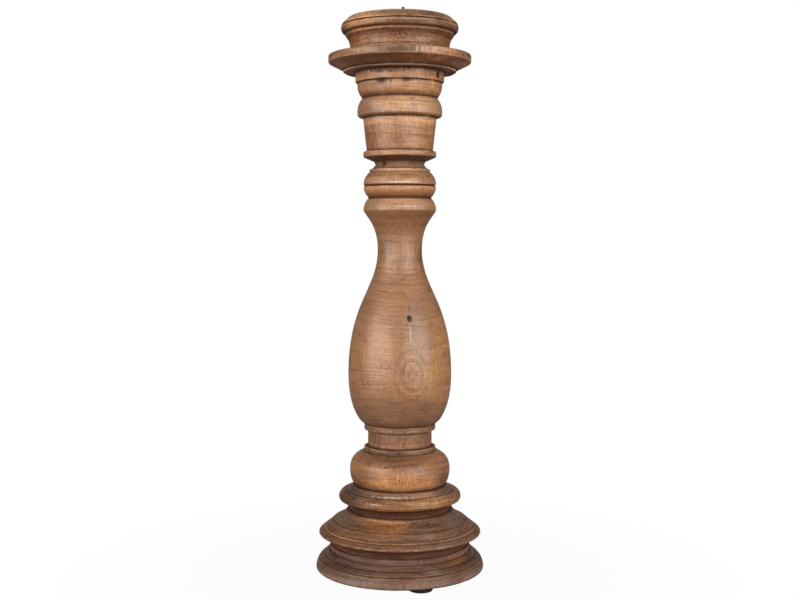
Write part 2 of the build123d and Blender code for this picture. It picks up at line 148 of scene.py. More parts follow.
def spin(name, points, segments, closed, joints=(), nick=0.0, shelter=None):
    """Piece spun about its axis from the points of an outline. It carries how deep each point lies in a
    hollow, how far it stands out on an edge and how sheltered it is; nicks of a depth break the edges."""
    reach, spread, joint_reach = 0.0011, 0.0016, 0.0020
    hollow_turn, edge_turn = radians(70), radians(60)
    nicks_per_metre, nicked_edge = 110.0, 0.3
    outline_share = 0.99
    along = lengths_along(points)
    before, after = [np.stack([np.interp(along + shift, along, points[:, axis]) for axis in (0, 1)], axis=1)
                     for shift in (-reach, reach)]
    low, high, way = points - before, after - points, after - before
    turn = np.arctan2(low[:, 0] * high[:, 1] - low[:, 1] * high[:, 0], (low * high).sum(axis=1))
    edge = np.clip(turn / edge_turn, 0, 1)
    hollow = np.clip(-turn / hollow_turn, 0, 1)
    gaps = np.abs(along[:, None] - along[None, :])
    hollow = (hollow[None, :] * np.clip(1 - gaps / spread, 0, 1)).max(axis=1)
    for joint in joints:
        near = np.clip(1 - np.linalg.norm(points - np.array(joint), axis=1) / joint_reach, 0, 1)
        hollow = np.maximum(hollow, near)
        edge = edge * (1 - near)

    outward = np.stack([way[:, 1], -way[:, 0]], axis=1)
    outward /= np.maximum(np.linalg.norm(outward, axis=1), 1e-9)[:, None]
    angles = 2 * pi * np.arange(segments) / segments
    rounds = np.stack([np.sin(angles), np.cos(angles)], axis=1)

    def ringed(radial, upright):
        return np.concatenate([radial[:, None, None] * rounds[None],
                               np.repeat(upright[:, None, None], segments, axis=1)], axis=2)

    places = ringed(points[:, 0], points[:, 1])
    if nick:
        inward = ringed(-outward[:, 0], -outward[:, 1])
        for row in np.flatnonzero(edge > nicked_edge):
            bites = [max(0.0, noise.noise(Vector(place) * nicks_per_metre)) for place in places[row]]
            places[row] += inward[row] * (nick * edge[row] * np.array(bites))[:, None]

    index = np.arange(len(points) * segments).reshape(-1, segments)
    index = np.concatenate([index, index[:, :1]], axis=1)
    share = along / along[-1]
    if closed:
        index, share = np.concatenate([index, index[:1]]), np.append(share * outline_share, 1.0)
    chart = np.stack(np.meshgrid(np.linspace(0, 1, segments + 1), share), axis=2)

    def corners(table):
        return np.stack([table[:-1, :-1], table[1:, :-1], table[1:, 1:], table[:-1, 1:]], axis=2)

    mesh = bpy.data.meshes.new(name)
    mesh.from_pydata(places.reshape(-1, 3), [], corners(index).reshape(-1, 4).tolist())
    mesh.uv_layers.new(name="OFBake").data.foreach_set("uv", corners(chart).astype(np.float32).ravel())
    for label, values in (("hollow", hollow), ("edge", edge), ("shelter", shelter)):
        if values is None:
            continue
        layer = mesh.attributes.new(label, "FLOAT", "POINT")
        layer.data.foreach_set("value", np.repeat(values, segments).astype(np.float32))
    welded = bmesh.new()
    welded.from_mesh(mesh)
    bmesh.ops.remove_doubles(welded, verts=welded.verts[:], dist=weld_reach)
    for face in welded.faces:
        face.smooth = True
    welded.to_mesh(mesh)
    welded.free()
    mesh.set_sharp_from_angle(angle=sharp_turn)
    return put_in_scene(name, mesh)


def shade(red, green, blue):
    """Linear colour of a shade given as it looks on a screen, from 0 to 255."""
    return tuple((((value / 255) + 0.055) / 1.055) ** 2.4 if value > 10 else value / 255 / 12.92
                 for value in (red, green, blue))


def feed(tree, socket, value):
    """Links a socket to the output of a node, or sets it to a plain value."""
    if isinstance(value, bpy.types.NodeSocket):
        tree.links.new(value, socket)
    else:
        socket.default_value = value


def add_node(tree, kind, inputs, **settings):
    """Node of a material or of the world, set up and fed."""
    node = tree.nodes.new("ShaderNode" + kind)
    for key, value in settings.items():
        setattr(node, key, value)
    for key, value in inputs.items():
        feed(tree, node.inputs[key], value)
    return node


def combine(tree, operation, first, second=0.0):
    """Number worked out from one or two others."""
    return add_node(tree, "Math", {0: first, 1: second}, operation=operation).outputs[0]


def eased_range(tree, value, low, high, least=0.0, most=1.0):
    """Value eased from least, at low and under, to most, at high and over."""
    return add_node(tree, "MapRange", {"Value": value, 1: low, 2: high, 3: least, 4: most},
                    interpolation_type="SMOOTHSTEP").outputs[0]


class Finish:
    """Finish of a surface, laid on in coats: its colour, its fine relief in metres and its roughness."""

    def __init__(self, name, colour, roughness, gloss, metal=0.0):
        self.material = bpy.data.materials.new(name)
        self.material.use_nodes = True
        self.tree = self.material.node_tree
        self.shader = self.tree.nodes["Principled BSDF"]
        self.shader.inputs["Specular IOR Level"].default_value = gloss
        self.shader.inputs["Metallic"].default_value = metal
        self.place = self.add("TexCoord", {}, "Object")
        self.colour = (*shade(*colour), 1.0)
        self.relief = None
        self.roughness = roughness

    def add(self, kind, inputs, output=0, **settings):
        return add_node(self.tree, kind, inputs, **settings).outputs[output]

    def math(self, operation, first, second=0.0):
        return combine(self.tree, operation, first, second)

    def plus(self, first, second):
        return self.math("ADD", first, second)

    def times(self, first, second):
        return self.math("MULTIPLY", first, second)

    def grain(self, scale, detail=2.0, roughness=0.5, place=None):
        """Cloudy noise from 0 to 1, with a number of features to a metre along each axis."""
        stretched = self.add("Mapping", {0: self.place if place is None else place, "Scale": scale})
        return self.add("TexNoise", {"Vector": stretched, "Scale": 1.0, "Detail": detail,
                                     "Roughness": roughness})

    def between(self, value, low, high, least=0.0, most=1.0):
        return eased_range(self.tree, value, low, high, least, most)

    def worn(self, label):
        """How deep in a hollow, how far out on an edge or how sheltered the surface is, as its mesh says."""
        return self.add("Attribute", {}, "Fac", attribute_name=label)

    def mix(self, blend, share, colour):
        self.colour = self.add("Mix", {0: share, 6: self.colour, 7: (*colour, 1.0)}, 2,
                               data_type="RGBA", blend_type=blend)

    def tint(self, share, colour):
        """Covers a share of the surface with a colour."""
        self.mix("MIX", share, shade(*colour))

    def tone(self, share, gains):
        """Multiplies the colour by gains for red, green and blue, which leaves the grain to be seen."""
        self.mix("MULTIPLY", share, gains)

    def lift(self, share, height):
        """Raises the surface by a height, or lowers it where the height is negative."""
        raised = self.times(share, height)
        self.relief = raised if self.relief is None else self.plus(self.relief, raised)

    def dull(self, share, amount):
        """Makes the surface rougher, or smoother where the amount is negative."""
        self.roughness = self.plus(self.times(share, amount), self.roughness)

    def lay_on(self, *pieces):
        """Joins the coats to the surface and gives the finish to pieces."""
        feed(self.tree, self.shader.inputs["Base Color"], self.colour)
        feed(self.tree, self.shader.inputs["Roughness"], self.roughness)
        if self.relief is not None:
            bump = self.add("Bump", {"Height": self.relief, "Strength": 1.0, "Distance": 1.0})
            feed(self.tree, self.shader.inputs["Normal"], bump)
        for piece in pieces:
            piece.data.materials.clear()
            piece.data.materials.append(self.material)


def add_piece(piece, node):
    """A piece that stands for a node of the frame: it hangs from the root body, and the node's own mesh is
    hidden.
    """
    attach(piece, "root")
    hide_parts(node)


quarter_bulge = 0.29
foot_edge_round = 0.0014
foot_draft = 0.0002
foot_recess_radius = 0.00525
foot_hole_radius = 0.0021
foot_web = 0.0026
foot_ease = 0.0003
foot_step = 0.0004
foot_segments = 96

rubber = Finish("foot_rubber", colour=(18, 18, 18), roughness=0.55, gloss=0.25)
rubber_bloom = rubber.grain((160, 160, 160), detail=4.0)
rubber_grit = rubber.grain((2600, 2600, 2600))
rubber.tint(rubber.between(rubber_bloom, 0.45, 0.8, most=0.5), (46, 45, 45))
rubber.tint(rubber.worn("edge"), (58, 57, 56))
rubber.dull(rubber_bloom, 0.25)
rubber.lift(rubber_grit, 0.00003)

feet = {}
for foot_node in ("foot_1", "foot_2", "foot_3"):
    foot_low, foot_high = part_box(foot_node)
    foot_middle = (foot_low + foot_high) / 2
    foot_radius = (foot_high.x - foot_low.x) / 2
    foot_height = foot_high.z - foot_low.z
    foot_outline = Outline(foot_recess_radius, 0.0, foot_step)
    foot_outline.line(foot_radius - foot_edge_round)
    foot_outline.arc(foot_radius, foot_edge_round, foot_edge_round * quarter_bulge)
    foot_outline.line(foot_radius - foot_draft, foot_height - foot_edge_round)
    foot_outline.line(foot_hole_radius)
    foot_outline.line(foot_hole_radius, -foot_web)
    foot_outline.line(foot_recess_radius)
    foot_outline.go(foot_recess_radius, 0.0)
    feet[foot_node] = spin("rubber_" + foot_node, foot_outline.eased(foot_ease), foot_segments, closed=True)
    feet[foot_node].location = (foot_middle.x, foot_middle.y, foot_low.z)
rubber.lay_on(*feet.values())
for foot_node, foot in feet.items():
    add_piece(foot, foot_node)


# Foot screws
# Zinc-plated steel screws with slotted pan heads. One goes up through the web of each foot into the plinth,
# with its head sunk in the recess.

zinc = Finish("screw_zinc", colour=(176, 174, 168), roughness=0.32, gloss=0.5, metal=1.0)
zinc_scuff = zinc.grain((900, 900, 5000), detail=3.0)
zinc_tarnish = zinc.grain((420, 420, 420), detail=3.0)
zinc.tint(zinc.between(zinc_tarnish, 0.5, 0.75, most=0.6), (120, 112, 98))
zinc.dull(zinc_scuff, 0.3)
zinc.lift(zinc_scuff, 0.00001)
zinc.lay_on(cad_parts["foot_screws"])


# Plinth
# The lowest section: a thick disc of mango wood turned on the lathe, with a rounded face, two bands parted
# by cut lines and an upright fillet on top. It is waxed and darker than the stem, with grey bloom and a
# painted sheen on its face.

quirk_width, quirk_depth = 0.0009, 0.0010
scribe_width, scribe_depth = 0.0005, 0.0005
wood_step = 0.0010
wood_ease = 0.0003
wood_nick = 0.0006
wood_segments = 256
tool_mark, tool_marks_per_metre = 0.00004, 560.0

stand_step = 0.0005
stand_heights = np.arange(0.0, cad_box[1].z, stand_step)
stand_points = np.concatenate([np.array([vertex.co for vertex in node.data.vertices])
                               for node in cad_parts.values()])
stand_rows = np.clip((stand_points[:, 2] / stand_step).astype(int), 0, len(stand_heights) - 1)
stand_radii = np.zeros(len(stand_heights))
np.maximum.at(stand_radii, stand_rows, np.hypot(stand_points[:, 0], stand_points[:, 1]))
stand_bare = stand_radii == 0
stand_radii[stand_bare] = np.interp(stand_heights[stand_bare], stand_heights[~stand_bare],
                                    stand_radii[~stand_bare])


def sheltered(points):
    """How little daylight from above and in front each point of an outline gets, from 0 to 1: it faces down,
    or the rest of the stand hangs over it."""
    runs = np.gradient(points, axis=0)
    tilts = np.arctan2(-runs[:, 0], runs[:, 1])
    outs = stand_radii[None, :] - points[:, :1]
    ups = stand_heights[None, :] - points[:, 1:]
    slopes = np.arctan2(ups, np.maximum(outs, 1e-6))
    above = np.where((outs > 0) & (ups > 2 * stand_step), slopes, pi / 2).min(axis=1)
    above = np.minimum(above, tilts + pi / 2)
    daylight = np.sin(above - tilts) + np.sin(tilts)
    return np.where(above > 0, 1 - np.clip(daylight, 0, 1), 1.0)


class Turning(Outline):
    """Outline of a glued section of the stand between its two joints, with the bores for its dowels."""

    def __init__(self, node, radius, below=None, above=None, through=None):
        """A bore below or above is its radius and its depth; one that goes through is its radius."""
        low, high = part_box(node)
        self.low, self.high, self.foot_radius = low.z, high.z, radius
        self.above, self.through = above, through
        if below is None:
            super().__init__(through or 0.0, self.low, wood_step)
        else:
            bore, depth = below
            super().__init__(0.0, self.low + depth, wood_step)
            self.line(bore)
            self.go(bore, self.low)
        self.line(radius)

    def quirk(self, radius):
        self.cut(radius, quirk_width, quirk_depth)

    def scribe(self, radius):
        self.cut(radius, scribe_width, scribe_depth)

    def spun(self, name, segments=wood_segments, joints=None):
        """The section as a piece. Dirt and painted shade gather along its joints, which are where its own
        ends meet the next ones if none are given."""
        if joints is None:
            joints = [(self.foot_radius, self.low), (self.end.x, self.high)]
        if self.through:
            self.line(self.through)
            self.go(self.through, self.low)
        elif self.above:
            bore, depth = self.above
            self.line(bore)
            self.line(bore, -depth)
            self.line(0.0)
        points = self.eased(wood_ease)
        shelter = sheltered(points)
        marks = [noise.noise(Vector((0.0, radius, z)) * tool_marks_per_metre) for radius, z in points]
        points[:, 0] += np.where(points[:, 0] > 0, tool_mark * np.array(marks), 0.0)
        return spin(name, points, segments, self.through is not None, joints, wood_nick, shelter)


class Wood(Finish):
    """Waxed, turned mango wood: cloudy tones and blotches of stain, the fine lines of the tool, pores along
    the grain, dirt and painted shade in every hollow, painted shade on every sheltered face, and wear with a
    painted highlight on every edge."""

    def __init__(self, name, pale, mid, dark, seed, figure=1.0, fleck=1.0, blotches=0.4, haze=0.0,
                 grime=1.0, shine=1.0, gloss=0.45):
        """Figure and fleck are how much the lines and the threads of the grain show, blotches and haze the
        shares of stain and of grey bloom. The grime argument sets how black the dirt and painted shade in
        the hollows are, shine how pale the worn edges with their painted highlights are."""
        super().__init__(name, mid, roughness=0.27, gloss=gloss)
        self.grime, self.shine = grime, shine
        seed_shift, sways_per_metre, most_sway = 0.731, 14.0, 0.010
        bloom, pore_dirt = (124, 98, 86), (52, 31, 21)
        place = self.add("VectorMath", {0: self.place, 1: (0.0, 0.0, seed_shift * seed)}, operation="ADD")
        sway = self.add("TexNoise", {"Vector": place, "Scale": sways_per_metre, "Detail": 1.0}, "Color")
        sway = self.add("VectorMath", {0: sway, 1: (0.5, 0.5, 0.5)}, operation="SUBTRACT")
        sway = self.add("VectorMath", {0: sway, "Scale": most_sway}, operation="SCALE")
        swayed = self.add("VectorMath", {0: place, 1: sway}, operation="ADD")

        cloud = self.grain((24, 24, 30), detail=3.0, place=swayed)
        blotch = self.grain((45, 45, 75), place=swayed)
        veil = self.grain((16, 16, 44), place=swayed)
        self.tint(self.between(cloud, 0.38, 0.64, most=0.8), pale)
        self.tint(self.between(blotch, 0.46, 0.72, most=blotches), dark)
        self.tint(self.between(veil, 0.45, 0.60, most=haze), bloom)

        lines = self.grain((22, 22, 380), detail=3.0, roughness=0.6, place=swayed)
        threads = self.grain((520, 520, 60), place=swayed)
        flecks = self.grain((520, 520, 420), roughness=0.6, place=swayed)
        woven = self.times(self.plus(threads, flecks), 0.5)
        pore = self.between(self.grain((1300, 1300, 240), detail=1.0, place=place), 0.62, 0.72)
        self.tint(self.between(lines, 0.51, 0.51 - 0.20 / figure, most=0.55), dark)
        self.tint(self.between(lines, 0.50, 0.50 + 0.20 / figure, most=0.85), pale)
        self.tint(self.between(woven, 0.50, 0.50 + 0.13 / fleck, most=0.85), pale)
        self.tint(self.between(woven, 0.50, 0.50 - 0.16 / fleck, most=0.35), dark)
        self.tint(self.times(pore, 0.25), pore_dirt)

        self.lift(lines, 0.0006 * figure)
        self.lift(woven, 0.0004 * fleck)
        self.lift(pore, -0.00006)
        self.dull(cloud, 0.08)
        self.woven = woven
        self.rough = self.plus(self.grain((480, 480, 480)), -0.5)

    def about(self, heading, height, radius, lean=0.0, size=(1.0, 1.0, 1.0)):
        """Place about a point of the surface at a heading right of the front, in units of a size."""
        turn = radians(heading)
        point = (radius * sin(turn), -radius * cos(turn), height)
        return self.add("Mapping", {0: self.place, "Location": point, "Scale": size,
                                    "Rotation": (0.0, -radians(lean), turn)}, vector_type="TEXTURE")

    def spread(self, heading, height, radius, width, tall, lean=0.0, ragged=0.5, deep=0.012):
        """Distance from a point of the surface, in half widths and half heights, with a ragged edge."""
        local = self.about(heading, height, radius, lean, (width / 2, deep, tall / 2))
        away = self.add("VectorMath", {0: local}, "Value", operation="LENGTH")
        return self.plus(away, self.times(self.rough, 2 * ragged))

    def stain(self, heading, height, radius, width, tall, colour, share=0.8, ragged=0.5, soft=0.8, lean=0.0):
        """Mark about a point of the surface, of a width and a height."""
        away = self.spread(heading, height, radius, width, tall, lean, ragged)
        mark = self.between(away, 1.0, 1.0 - soft, 0.0, share)
        self.tint(mark, colour)
        self.dull(mark, 0.4)

    def wash(self, heading, height, radius, width, tall, gains):
        """Broad tone about a point of the surface."""
        away = self.spread(heading, height, radius, width, tall, ragged=0.35, deep=0.045)
        self.tone(self.between(away, 1.0, 0.3), gains)

    def zone(self, low, high, soft):
        """1 between two heights, all round, and 0 over and under them."""
        height = self.add("SeparateXYZ", {0: self.place}, "Z")
        rise = self.between(height, low - soft, low + soft)
        fall = self.between(height, high + soft, high - soft)
        return self.times(rise, fall)

    def band(self, low, high, gains, soft=0.0008):
        """Tone of one moulding."""
        self.tone(self.zone(low, high, soft), gains)

    def weave(self, low, high, share, soft=0.002):
        """Bolder threads of pale and dark grain on one moulding."""
        zone = self.zone(low, high, soft)
        for level, gains in ((0.58, (1.40, 1.45, 1.50)), (0.42, (0.62, 0.60, 0.58))):
            self.tone(self.times(zone, self.between(self.woven, 0.5, level, most=share)), gains)

    def lay_on(self, *pieces):
        """Paints shade on the sheltered faces, dirt and painted shade into the hollows and wear with a
        painted highlight onto the edges, and then joins the coats.
        """
        painted_shade_brown, dirt_and_shade_black, wear_and_highlight_pale = (72, 34, 13), (54, 22, 5), (214, 168, 128)
        hollow, edge, shelter = self.worn("hollow"), self.worn("edge"), self.worn("shelter")
        patch = self.grain((120, 120, 120), detail=3.0)
        # Painted shade on the faces that look down or lie under the rest of the stand.
        self.tint(self.times(shelter, self.between(patch, 0.25, 0.65, 0.5, 0.8)), painted_shade_brown)
        # Dirt and painted shade in the hollows and along the joints.
        dirt_and_shade = self.times(self.between(hollow, 0.05, 0.7), self.between(patch, 0.25, 0.55, 0.6, 0.95))
        self.tint(self.times(dirt_and_shade, self.grime), dirt_and_shade_black)
        # Pale edges: wear with a painted highlight, less of it on sheltered faces.
        wear_and_highlight = self.times(self.between(edge, 0.15, 0.7), self.between(patch, 0.40, 0.62, 0.1, 1.0))
        wear_and_highlight = self.times(wear_and_highlight, self.between(shelter, 0.2, 0.6, 0.4, 0.1))
        self.tint(self.times(wear_and_highlight, self.shine), wear_and_highlight_pale)
        self.dull(hollow, 0.5)
        self.dull(shelter, 0.2)
        super().lay_on(*pieces)


def each(mark, *rows):
    """Makes one kind of mark with each row of its values, in turn."""
    for row in rows:
        mark(*row)


base_bore = 0.0126
plinth_bore_depth = 0.0185

plinth = Turning("plinth", 0.0876, above=(base_bore, plinth_bore_depth))
plinth.arc(0.0894, 0.0030, 0.0006)
plinth.arc(0.0866, 0.0085, 0.0005)
plinth.quirk(0.0857)
plinth.arc(0.0810, 0.0040, 0.00035)
plinth.scribe(0.0805)
plinth.arc(0.0762, 0.0040, 0.00025)
plinth.line(0.0744)
plinth.line(0.0744, 0.0069)
plinth_piece = plinth.spun("turned_plinth", joints=[(plinth.end.x, plinth.high)])
plinth_wood = Wood("plinth_wood", pale=(124, 90, 66), mid=(108, 76, 57), dark=(72, 47, 32), seed=1,
                   figure=1.6, blotches=0.5, haze=0.45, grime=0.6, shine=0.5, gloss=0.22)
# Painted sheen paling and greying the lower face and the fillet; painted shade on the upper bands.
each(plinth_wood.band,
     (0.0000, 0.0130, (1.50, 1.78, 2.30), 0.003),
     (0.0180, 0.0274, (0.86, 0.84, 0.90)),
     (0.0274, 0.0343, (1.19, 1.26, 1.56)))
each(plinth_wood.wash,
     (-58.0, 0.0240, 0.0820, 0.090, 0.034, (0.88, 0.96, 1.10)),
     (50.0, 0.0290, 0.0760, 0.046, 0.018, (1.40, 1.24, 0.92)))
plinth_wood.stain(24.0, 0.0218, 0.0795, 0.028, 0.0080, (140, 120, 108), share=0.5, ragged=1.1)
plinth_wood.lay_on(plinth_piece)
add_piece(plinth_piece, "plinth")


# Dowels
# Five plain beech dowels, glued in the bores on the axis and hidden there. The lowest runs from the plinth
# through step and collar to the bulb, three join bulb, vase, neck and capital, and the topmost runs from the
# capital through the drip plate to the cup.

dowel_wood = Finish("dowel_beech", colour=(206, 170, 128), roughness=0.6, gloss=0.3)
dowel_fleck = dowel_wood.grain((1100, 1100, 150))
dowel_tone = dowel_wood.grain((120, 120, 25), detail=3.0)
dowel_glue = dowel_wood.grain((70, 70, 45))
dowel_wood.tint(dowel_wood.between(dowel_tone, 0.4, 0.7, most=0.7), (184, 140, 98))
dowel_wood.tint(dowel_wood.between(dowel_fleck, 0.6, 0.72, most=0.6), (146, 98, 62))
dowel_wood.tint(dowel_wood.between(dowel_glue, 0.58, 0.7, most=0.5), (222, 200, 160))
dowel_wood.lift(dowel_fleck, 0.00005)
dowel_wood.dull(dowel_tone, 0.15)
dowel_joints = ("base", "vase", "neck", "capital", "cup")
dowel_wood.lay_on(*(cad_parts[joint + "_dowel"] for joint in dowel_joints))


# Base step
# The widest moulding, glued up from a golden and a darker board before it was turned, so the glue line runs
# slanted across its front. A scotia undercuts its nose, and fillets and cut lines climb to a cone.

seam_heading = radians(-32.3)
seam_offset = 0.040
seam_gap = 0.00012
streak_radius, streak_width, streak_tall = 0.0680, 0.040, 0.0022
step_streaks = ((30.0, 0.0612, (158, 122, 96)), (24.0, 0.0646, (52, 32, 22)), (36.0, 0.0668, (150, 118, 98)),
                (-40.0, 0.0620, (60, 38, 26)), (-2.0, 0.0556, (154, 116, 86)), (-34.0, 0.0560, (58, 36, 25)))

step = Turning("base_board_wide", 0.0730, through=base_bore)
step.arc(0.0848, 0.0100, -0.0030)
step.arc(0.0862, 0.0022, 0.0005)
step.arc(0.0821, 0.0034, 0.00035)
step.quirk(0.0812)
step.line(0.0796, 0.0014)
step.quirk(0.0787)
step.arc(0.0728, 0.0047, -0.00025)
step.line(0.0718, 0.0009)
step.quirk(0.0709)
step.arc(0.0570, 0.0091, -0.0010)
step.line(0.0565, 0.0013)
step_piece = step.spun("turned_step")


def sawn(piece, name, side):
    """The part of a piece on one side of the glue line, closed by its sawn face."""
    mesh = bmesh.new()
    mesh.from_mesh(piece.data)
    normal = Vector((cos(seam_heading), sin(seam_heading), 0.0)) * side
    cut = bmesh.ops.bisect_plane(mesh, geom=mesh.verts[:] + mesh.edges[:] + mesh.faces[:], dist=weld_reach,
                                 plane_co=normal * (seam_offset * side + seam_gap / 2), plane_no=normal,
                                 clear_inner=True)
    rim = [item for item in cut["geom_cut"] if isinstance(item, bmesh.types.BMEdge)]
    for face in bmesh.ops.triangle_fill(mesh, edges=rim, use_beauty=True, normal=-normal)["geom"]:
        if isinstance(face, bmesh.types.BMFace):
            face.smooth = False
    board_mesh = bpy.data.meshes.new(name)
    mesh.to_mesh(board_mesh)
    mesh.free()
    board_mesh.set_sharp_from_angle(angle=sharp_turn)
    return put_in_scene(name, board_mesh)


golden_wood = Wood("step_golden_wood", pale=(129, 91, 60), mid=(111, 76, 51), dark=(75, 47, 29), seed=2,
                   figure=1.6, blotches=0.5, haze=0.15, grime=0.6, shine=0.6)
dark_wood = Wood("step_dark_wood", pale=(124, 88, 60), mid=(106, 73, 50), dark=(72, 46, 28), seed=3,
                 figure=1.6, blotches=0.5, haze=0.35, grime=0.6, shine=0.6)
golden_wood.wash(-12.0, 0.0640, 0.0630, 0.085, 0.018, (1.36, 1.16, 0.80))
for step_wood in (golden_wood, dark_wood):
    each(step_wood.wash,
         # Pale line along the cone's top edge: wear with a painted highlight.
         (-14.0, 0.0688, 0.0570, 0.080, 0.0040, (1.60, 1.70, 1.90)),
         (-64.0, 0.0620, 0.0680, 0.060, 0.026, (0.86, 0.95, 1.16)),
         # Paler, greyer right end of the cone: a painted highlight.
         (60.0, 0.0600, 0.0700, 0.070, 0.030, (1.00, 1.06, 1.28)))
    # Tones of the mouldings as the light falls on them: painted light on the bead, the fillet and the cone.
    each(step_wood.band,
         (0.0343, 0.0443, (1.07, 0.92, 0.92)),
         (0.0443, 0.0499, (1.15, 1.10, 1.24)),
         (0.0499, 0.0531, (1.54, 1.48, 1.52)),
         (0.0531, 0.0700, (1.12, 1.15, 1.28)))
    step_wood.weave(0.0443, 0.0700, 0.30)
    for streak_heading, streak_height, streak_colour in step_streaks:
        step_wood.stain(streak_heading, streak_height, streak_radius, streak_width, streak_tall,
                        streak_colour, share=0.5, ragged=0.7)
    step_wood.stain(24.0, 0.0565, 0.0765, 0.024, 0.0070, (150, 128, 112), share=0.5, ragged=1.1)
for board_node, board_side, board_wood in (("base_board_wide", -1, golden_wood),
                                           ("base_board_narrow", 1, dark_wood)):
    board = sawn(step_piece, "turned_" + board_node, board_side)
    board_wood.lay_on(board)
    add_piece(board, board_node)
bpy.data.objects.remove(step_piece)


# Base collar
# A turned ring between the step and the bulb: a deep scotia, a fillet, a bead and a small hollow under the
# bulb, with a painted highlight in short ticks along its lip. It is threaded on the base dowel and glued.

collar_ticks, first_tick, tick_spacing = 7, -30.0, 7.4

collar = Turning("base_collar", 0.0534, through=base_bore)
collar.arc(0.0637, 0.0106, -0.0026)
collar.arc(0.0649, 0.0044, 0.00045)
collar.scribe(0.0649)
collar.arc(0.0594, 0.0057, 0.00095)
collar.quirk(0.0574)
collar.arc(0.0494, 0.0047, -0.0005)
collar_piece = collar.spun("turned_collar")
collar_wood = Wood("collar_wood", pale=(151, 107, 72), mid=(129, 89, 61), dark=(80, 51, 31), seed=4,
                   figure=1.6, fleck=1.1, blotches=0.5, haze=0.3, grime=0.8, shine=0.7)
each(collar_wood.wash,
     (30.0, 0.0890, 0.0630, 0.060, 0.020, (1.84, 1.80, 1.63)),
     (-62.0, 0.0870, 0.0640, 0.066, 0.034, (0.42, 0.42, 0.47)))
# Painted shade in the scotia, a painted sheen on the hollow under the bulb and a painted highlight on the
# fillet.
each(collar_wood.band,
     (0.0700, 0.0806, (0.55, 0.47, 0.48)),
     (0.0816, 0.0900, (1.07, 1.05, 0.94)),
     (0.0900, 0.0968, (0.90, 1.00, 1.28), 0.002),
     (0.0806, 0.0816, (1.30, 1.35, 1.45), 0.0004))
each(collar_wood.stain,
     (-50.0, 0.0885, 0.0640, 0.0090, 0.0070, (60, 44, 40)),
     # Pale streak on the bead: a painted highlight.
     (-24.0, 0.0866, 0.0648, 0.022, 0.0026, (222, 184, 142), 0.45, 1.0))
collar_wood.weave(0.0806, 0.0968, 0.2)
# A painted highlight along the lip, broken into short ticks.
collar_wood.stain(-7.0, 0.0926, 0.0572, 0.048, 0.0030, (204, 176, 150), share=0.7, ragged=0.4)
for tick in range(collar_ticks):
    tick_tall = 0.0036 + 0.0012 * sin(4.1 * tick)
    collar_wood.stain(first_tick + tick_spacing * tick, 0.0928, 0.0572, 0.0040, tick_tall, (210, 184, 158),
                      share=0.6, ragged=0.3)
collar_wood.lay_on(collar_piece)
add_piece(collar_piece, "base_collar")


# Bulb
# A flattened ball with a plain ring on top, turned from golden wood, with two pin knots on its front. The
# base dowel ends in it from below and the dowel of the vase from above.

bulb_bore_depth = 0.0155
vase_bore = 0.0101

bulb = Turning("bulb", 0.0470, (base_bore, bulb_bore_depth), (vase_bore, bulb_bore_depth))
bulb.sweep(0.0532, 0.0162, (0.91, 0.15), (0.0, 0.10))
bulb.sweep(0.0406, 0.0194, (0.0, 0.70), (0.36, 0.14))
bulb.quirk(0.0380)
bulb.line(0.0380, 0.0038)
bulb.arc(0.0356, 0.0012, 0.00025)
bulb_piece = bulb.spun("turned_bulb")
bulb_wood = Wood("bulb_wood", pale=(170, 120, 80), mid=(147, 101, 68), dark=(93, 60, 36), seed=5,
                 fleck=0.65, grime=0.6, gloss=0.35)
each(bulb_wood.wash,
     # Darker top under the belly: painted shade.
     (-10.0, 0.1300, 0.0450, 0.150, 0.022, (0.60, 0.60, 0.66)),
     # Brighter lower front: painted light from below.
     (6.0, 0.1060, 0.0520, 0.110, 0.028, (1.84, 1.77, 1.54)),
     (-68.0, 0.1040, 0.0510, 0.060, 0.026, (0.72, 0.68, 0.64)),
     (70.0, 0.1040, 0.0510, 0.060, 0.026, (0.72, 0.68, 0.64)))
each(bulb_wood.band,
     (0.0968, 0.1140, (0.92, 0.95, 1.00), 0.008),
     (0.1150, 0.1333, (1.05, 1.06, 1.10), 0.004),
     (0.1333, 0.1383, (0.60, 0.58, 0.66)))
bulb_wood.weave(0.0968, 0.1333, 0.12)
each(bulb_wood.stain,
     (-2.1, 0.1357, 0.0380, 0.0050, 0.0052, (40, 24, 20), 0.9),
     (-16.8, 0.1232, 0.0511, 0.0050, 0.0028, (52, 28, 18), 0.9, 0.2),
     (-0.4, 0.1106, 0.0531, 0.0028, 0.0032, (52, 28, 18), 0.9, 0.2))
bulb_wood.lay_on(bulb_piece)
add_piece(bulb_piece, "bulb")


# Vase
# The long stem, turned in one piece: a short cylinder and a collar, the belly, a slim waist, and a flare
# that ends in an arris under two beads. A small knot sits above the belly, a wavy ridge of torn grain under
# the waist, and the growth rings close to an eye on the front.

vase_bore_depth = 0.0305
neck_bore = 0.0091
vase_curved_rise = 0.2256
vase_low_rise = 0.225 * vase_curved_rise
vase_flare_rise = 0.184 * vase_curved_rise
vase_taper_rise = vase_curved_rise - vase_low_rise - vase_flare_rise
vase_segments = 384
eye_heading, eye_height, eye_radius = 12.8, 0.2187, 0.0546
eye_reach, eye_rings, eye_tall, eye_drift, eye_share = 0.022, 3.1, 1.50, 0.011, 0.36
late_wood, early_wood = (108, 70, 44), (190, 140, 94)
knot_heading, knot_height, knot_radius = 12.5, 0.2764, 0.0456
knot_pale, knot_check, knot_halo, knot_black, knot_core = (
    (206, 170, 142), (70, 44, 34), (112, 84, 68), (34, 20, 16), (104, 84, 76))
ridge_radius, ridge_tall, ridge_overlap = 0.0285, 0.0024, 1.7
ridge_brown = (86, 55, 38)
ridge = ((-47.0, 0.3108), (-26.0, 0.3108), (-12.2, 0.3116), (0.0, 0.3136), (10.0, 0.3175), (18.7, 0.3197),
         (30.0, 0.3202), (50.3, 0.3194))

